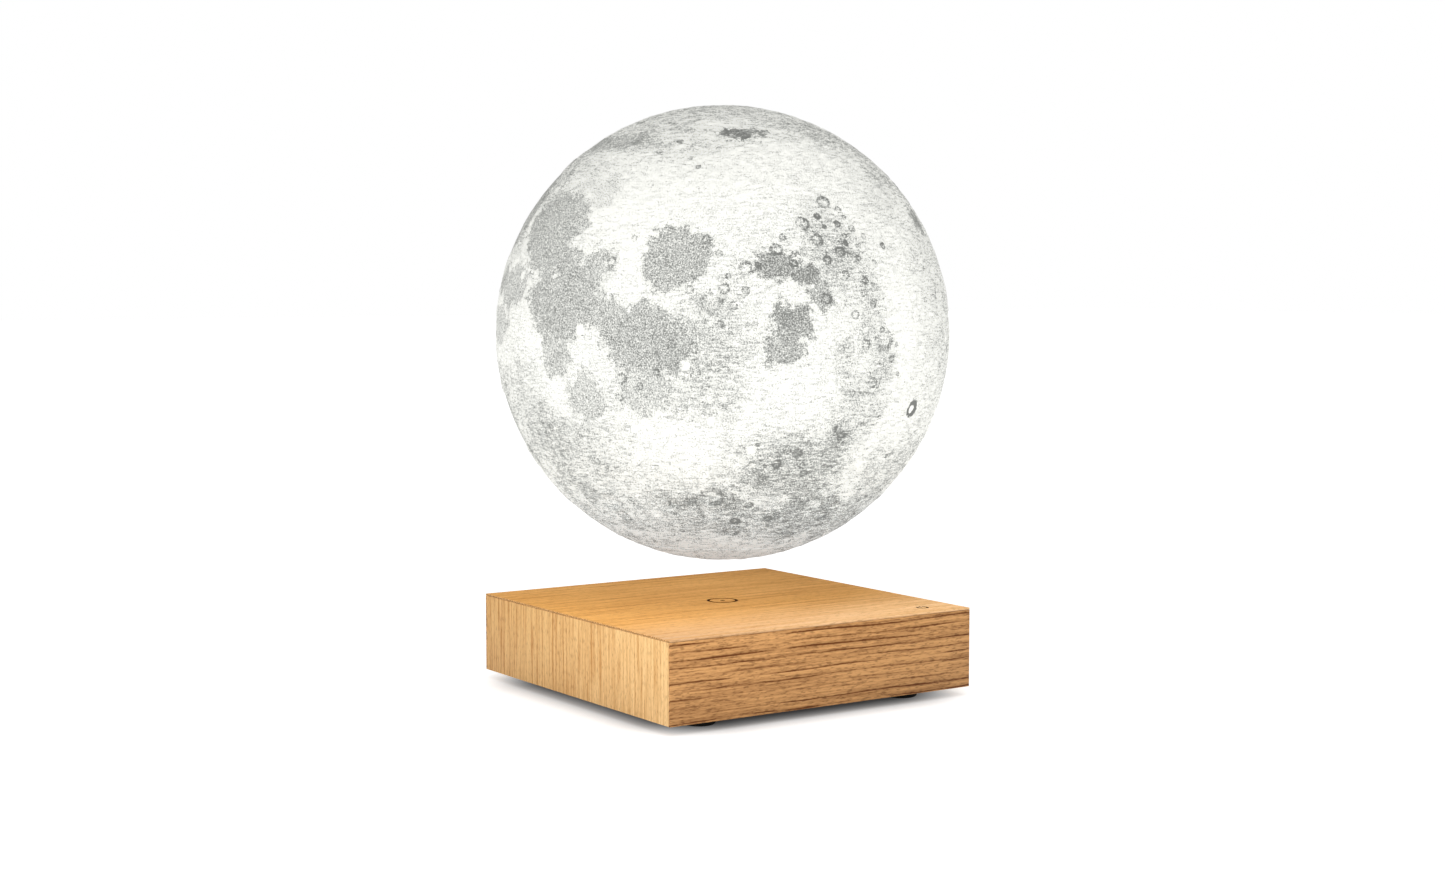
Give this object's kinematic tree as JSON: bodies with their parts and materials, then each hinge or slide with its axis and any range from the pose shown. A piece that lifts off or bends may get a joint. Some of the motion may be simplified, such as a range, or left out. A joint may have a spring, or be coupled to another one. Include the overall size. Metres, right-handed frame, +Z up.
{
  "type": "moon lamp",
  "caption": "Levitating moon lamp: a printed globe with lunar relief floats and turns over a square wood-veneered case that holds the magnetic drive.",
  "frame": {"origin": "on the floor under the middle of the case, which is also under the moon's centre", "axes": "+Z up along the axis that the moon turns about; -Y is the front, with the touch mark; +Y is the back, with the power socket"},
  "size_m": [0.145, 0.145, 0.1872],
  "materials": {
    "veneer_top": "satin",
    "veneer_front": "satin",
    "veneer_side": "satin",
    "fibreboard": "matt",
    "black_plastic": "matt",
    "black_rubber": "matt",
    "white_plastic": "satin",
    "printed_white": "matt, printed in fine layers, lit from inside",
    "steel": "zinc plated",
    "nickel": "nickel plated",
    "aluminium": "drawn can",
    "ferrite": "pressed and ground",
    "copper": "enamelled wire",
    "circuit_board": "satin",
    "chip_black": "moulded",
    "led_white": "clear resin over phosphor"
  },
  "bodies": {
    "base": {"casing": "fibreboard", "veneer_top": "veneer_top", "veneer_front": "veneer_front", "veneer_back": "veneer_front", "veneer_left": "veneer_side", "veneer_right": "veneer_side", "bottom_cover": "black_plastic", "rubber_foot_1": "black_rubber", "rubber_foot_2": "black_rubber", "rubber_foot_3": "black_rubber", "rubber_foot_4": "black_rubber", "cover_screw_1": "steel", "cover_screw_2": "steel", "cover_screw_3": "steel", "cover_screw_4": "steel", "main_board": "circuit_board", "capacitor_1": "aluminium", "capacitor_2": "aluminium", "drive_chip_1": "chip_black", "drive_chip_2": "chip_black", "control_chip": "chip_black", "choke": "ferrite", "dc_jack": "black_plastic", "dc_jack_pin": "nickel", "touch_spring": "steel", "coil_tray": "black_plastic", "tray_screw_1": "steel", "tray_screw_2": "steel", "tray_screw_3": "steel", "tray_screw_4": "steel", "ring_magnet": "ferrite", "coil_core_1": "steel", "coil_core_2": "steel", "coil_core_3": "steel", "coil_core_4": "steel", "coil_bobbin_1": "white_plastic", "coil_bobbin_2": "white_plastic", "coil_bobbin_3": "white_plastic", "coil_bobbin_4": "white_plastic", "coil_winding_1": "copper", "coil_winding_2": "copper", "coil_winding_3": "copper", "coil_winding_4": "copper", "hall_board": "circuit_board", "hall_sensor_1": "chip_black", "hall_sensor_2": "chip_black", "hall_sensor_3": "chip_black", "power_coil_plate": "white_plastic", "power_coil": "copper"},
    "float_magnet": {"float_magnet": "nickel"},
    "moon": {"moon_shell": "printed_white", "moon_lid": "printed_white", "magnet_holder": "white_plastic", "receiver_coil": "copper", "lamp_board": "white_plastic", "led_1": "led_white", "led_2": "led_white", "led_3": "led_white", "led_4": "led_white", "store_capacitor": "aluminium"}
  },
  "joints": [
    {"name": "moon_lift", "type": "slide", "parent": "base", "child": "float_magnet", "axis": [0, 0, 1], "range_m": [-0.0136, 0.08], "stiffness_N_per_m": 60, "springref_m": 0.03125},
    {"name": "moon_spin", "type": "hinge", "parent": "float_magnet", "child": "moon", "pos_m": [0, 0, 0.1147], "axis": [0, 0, 1], "continuous": true}
  ]
}
